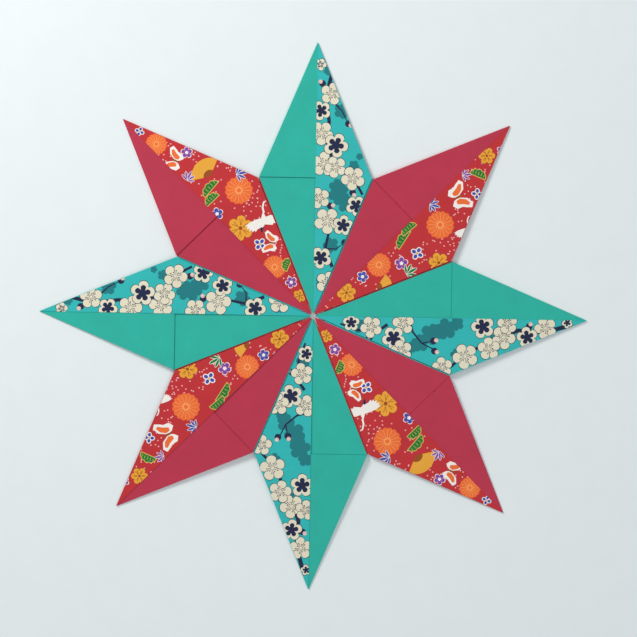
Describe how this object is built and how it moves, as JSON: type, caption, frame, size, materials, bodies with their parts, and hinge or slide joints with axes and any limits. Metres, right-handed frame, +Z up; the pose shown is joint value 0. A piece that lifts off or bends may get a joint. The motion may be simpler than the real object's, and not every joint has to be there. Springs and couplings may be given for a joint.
{
  "type": "modular origami star",
  "caption": "Flat modular star folded from square sheets of two-sided paper, with rhombic points half printed and half plain, held by tabs in pockets.",
  "frame": {"origin": "centre of the star on the table it lies on", "axes": "+Z up out of the coloured face, +Y along the first teal point, +X along the third point clockwise"},
  "size_m": [0.3018, 0.3018, 0.0021],
  "materials": {
    "teal_paper": "matt teal back, printed turquoise face",
    "red_paper": "matt crimson back, printed red face"
  },
  "bodies": {
    "root": {"teal_unit_1": "teal_paper", "red_unit_1": "red_paper", "teal_unit_2": "teal_paper", "red_unit_2": "red_paper", "teal_unit_3": "teal_paper", "red_unit_3": "red_paper", "teal_unit_4": "teal_paper", "red_unit_4": "red_paper"}
  },
  "joints": []
}
